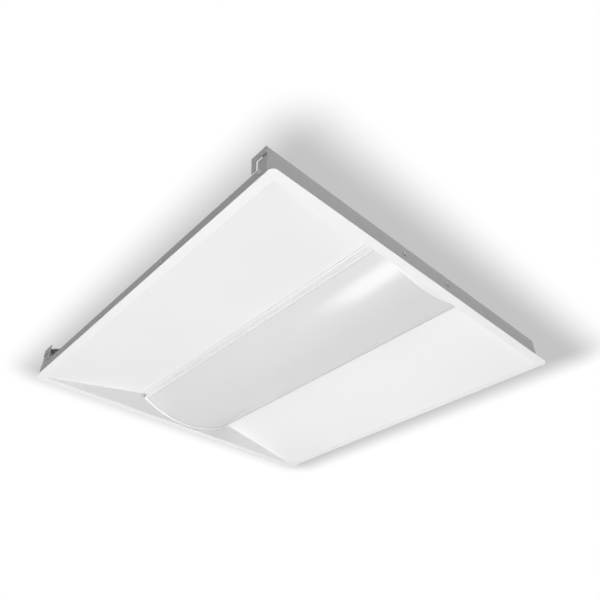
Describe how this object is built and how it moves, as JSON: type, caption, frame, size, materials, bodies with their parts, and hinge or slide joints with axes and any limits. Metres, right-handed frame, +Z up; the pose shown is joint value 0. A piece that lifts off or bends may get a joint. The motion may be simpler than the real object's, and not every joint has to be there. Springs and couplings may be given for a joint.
{
  "type": "recessed troffer light",
  "caption": "Square recessed ceiling light with white sloped reflector wings, a long bowed diffuser lens that hinges down, and a shallow grey steel housing.",
  "frame": {"origin": "centre of the face, in the plane of the flat strip round the face that rests on the ceiling grid", "axes": "+Z up into the ceiling, away from the lit room; X along the lens; +Y from the lens door's catch side towards its hinge side"},
  "size_m": [0.603, 0.603, 0.0783],
  "materials": {
    "white_paint": "satin",
    "grey_paint": "satin",
    "lens_plastic": "frosted",
    "white_plastic": "matte",
    "zinc_steel": "satin",
    "rivet_aluminium": "satin",
    "white_board": "satin",
    "green_board": "satin",
    "led_phosphor": "gloss",
    "lead_plastic": "satin",
    "black_plastic": "matte",
    "orange_plastic": "matte",
    "green_plastic": "matte"
  },
  "bodies": {
    "housing": {"reflector_wing_left": "white_paint", "reflector_wing_right": "white_paint", "end_reflector_front": "white_paint", "end_reflector_rear": "white_paint", "side_rail_left": "grey_paint", "side_rail_right": "grey_paint", "end_plate_front": "grey_paint", "end_plate_rear": "grey_paint", "back_pan": "grey_paint", "side_rail_screws": "zinc_steel", "end_plate_screws": "zinc_steel", "corner_rivets": "rivet_aluminium", "pan_rivets": "rivet_aluminium", "hinge_bushings": "white_plastic", "hinge_bracket_front": "zinc_steel", "hinge_bracket_rear": "zinc_steel", "hinge_bracket_rivets": "rivet_aluminium", "catch_springs": "zinc_steel", "catch_rivets": "rivet_aluminium", "led_tray": "white_paint", "led_tray_screws": "zinc_steel", "led_board_left": "white_board", "led_board_right": "white_board", "led_packages": "led_phosphor", "led_board_screws": "zinc_steel", "board_connectors": "white_plastic", "output_leads": "lead_plastic", "lead_bushing": "black_plastic", "driver_box": "grey_paint", "driver_box_cover": "grey_paint", "driver_box_rivets": "rivet_aluminium", "box_cover_screws": "zinc_steel", "driver_case": "white_paint", "driver_lid": "white_paint", "driver_lid_screws": "zinc_steel", "driver_board": "green_board", "driver_transformer": "black_plastic", "driver_capacitors": "black_plastic", "driver_terminals": "white_plastic", "driver_screws": "zinc_steel", "disconnect_socket": "orange_plastic", "disconnect_plug": "orange_plastic", "input_leads": "lead_plastic", "ground_lead": "green_plastic", "ground_screw": "green_plastic"},
    "lens_door": {"lens": "lens_plastic", "lens_rail_hinge_side": "white_plastic", "lens_rail_catch_side": "white_plastic", "lens_end_cap_front": "white_plastic", "lens_end_cap_rear": "white_plastic", "lens_cap_screws": "zinc_steel", "hinge_pins": "zinc_steel"}
  },
  "joints": [
    {"name": "lens_door_hinge", "type": "hinge", "parent": "housing", "child": "lens_door", "pos_m": [0, 0.091, 0.033], "axis": [1, 0, 0], "range_deg": [0, 90]}
  ]
}
